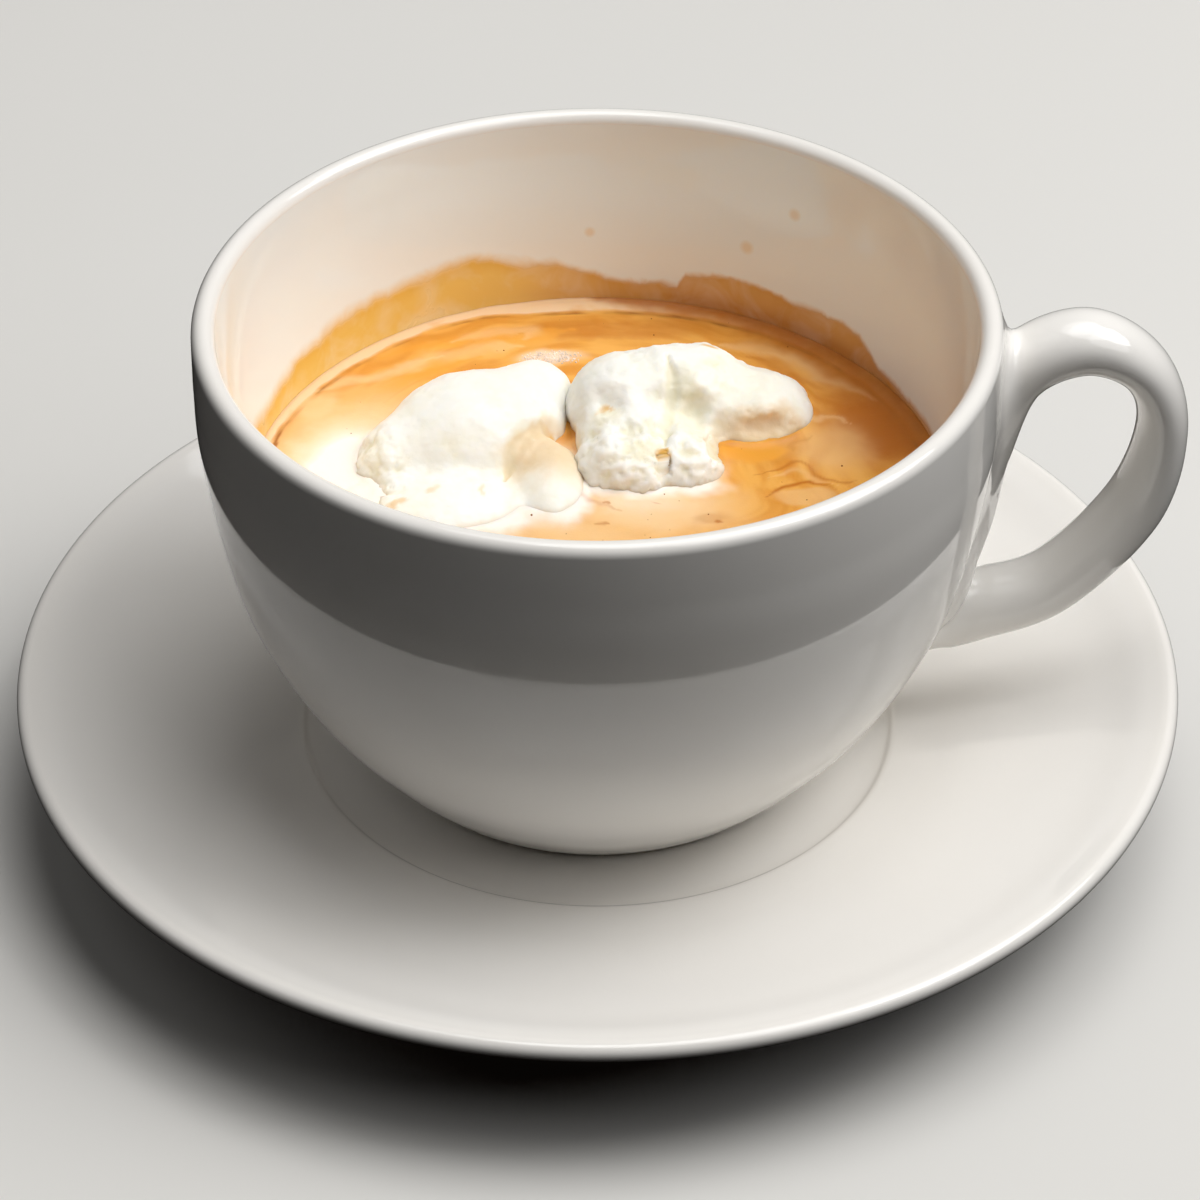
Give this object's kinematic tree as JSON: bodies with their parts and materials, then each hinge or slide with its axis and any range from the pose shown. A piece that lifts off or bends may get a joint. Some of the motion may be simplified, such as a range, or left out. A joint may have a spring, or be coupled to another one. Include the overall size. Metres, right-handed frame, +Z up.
{
  "type": "affogato",
  "caption": "Affogato: melting vanilla ice cream in coffee with golden crema, in a round white porcelain cup with a loop handle, standing in the well of its saucer.",
  "frame": {"origin": "centre of the saucer's foot ring, on the surface that the saucer stands on", "axes": "+Z up along the axis of the cup and saucer, +X towards the cup's handle, and the side that the picture shows faces -Y"},
  "size_m": [0.155, 0.155, 0.0734],
  "materials": {
    "saucer_porcelain": "gloss",
    "cup_porcelain": "gloss",
    "crema": "gloss",
    "ice_cream_left_ice_cream": "satin",
    "ice_cream_right_ice_cream": "satin"
  },
  "bodies": {
    "root": {"saucer": "saucer_porcelain", "cup": "cup_porcelain", "coffee": "crema", "ice_cream_left": "ice_cream_left_ice_cream", "ice_cream_right": "ice_cream_right_ice_cream"}
  },
  "joints": []
}
